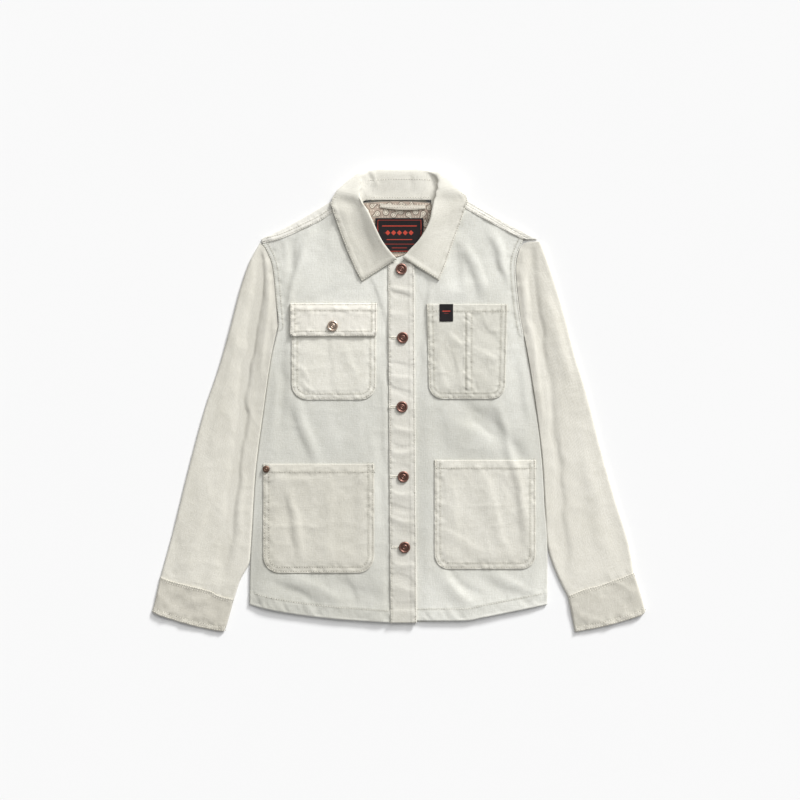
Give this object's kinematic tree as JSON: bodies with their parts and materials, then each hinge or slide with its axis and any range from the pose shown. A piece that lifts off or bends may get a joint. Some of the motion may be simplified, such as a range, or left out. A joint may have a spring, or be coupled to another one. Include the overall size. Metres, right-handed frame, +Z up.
{
  "type": "chore jacket",
  "caption": "Natural canvas chore jacket laid flat on its back, buttoned, collar folded over, sleeves at its sides, patch pockets on chest and hips",
  "frame": {"origin": "middle of the outline seen from above, on the surface that the back rests on", "axes": "+X across the jacket from the wearer's right cuff to the left cuff, +Y from the hem towards the collar, +Z up off the surface, through the fronts"},
  "size_m": [0.764, 0.7186, 0.0191],
  "materials": {
    "canvas": "natural cotton canvas, matt, tone on tone stitching",
    "lining": "printed cotton lining, cream on taupe",
    "label": "woven label, matt, bare",
    "copper": "brushed antique copper",
    "rose_metal": "brushed pale rose metal",
    "rivet_metal": "dark aged copper"
  },
  "bodies": {
    "root": {"back_panel": "canvas", "front_right": "canvas", "front_left": "canvas", "yoke_right": "canvas", "yoke_left": "canvas", "placket": "canvas", "collar_back": "canvas", "collar_leaf_right": "canvas", "collar_leaf_left": "canvas", "sleeve_right": "canvas", "sleeve_left": "canvas", "cuff_right": "canvas", "cuff_left": "canvas", "chest_pocket_right": "canvas", "chest_pocket_left": "canvas", "pocket_flap": "canvas", "hip_pocket_right": "canvas", "hip_pocket_left": "canvas", "neck_lining": "lining", "hanger_loop": "canvas", "neck_label": "label", "pocket_tab": "label", "button_1": "copper", "button_2": "copper", "button_3": "copper", "button_4": "copper", "button_5": "copper", "flap_button": "rose_metal", "pocket_rivet": "rivet_metal"}
  },
  "joints": []
}
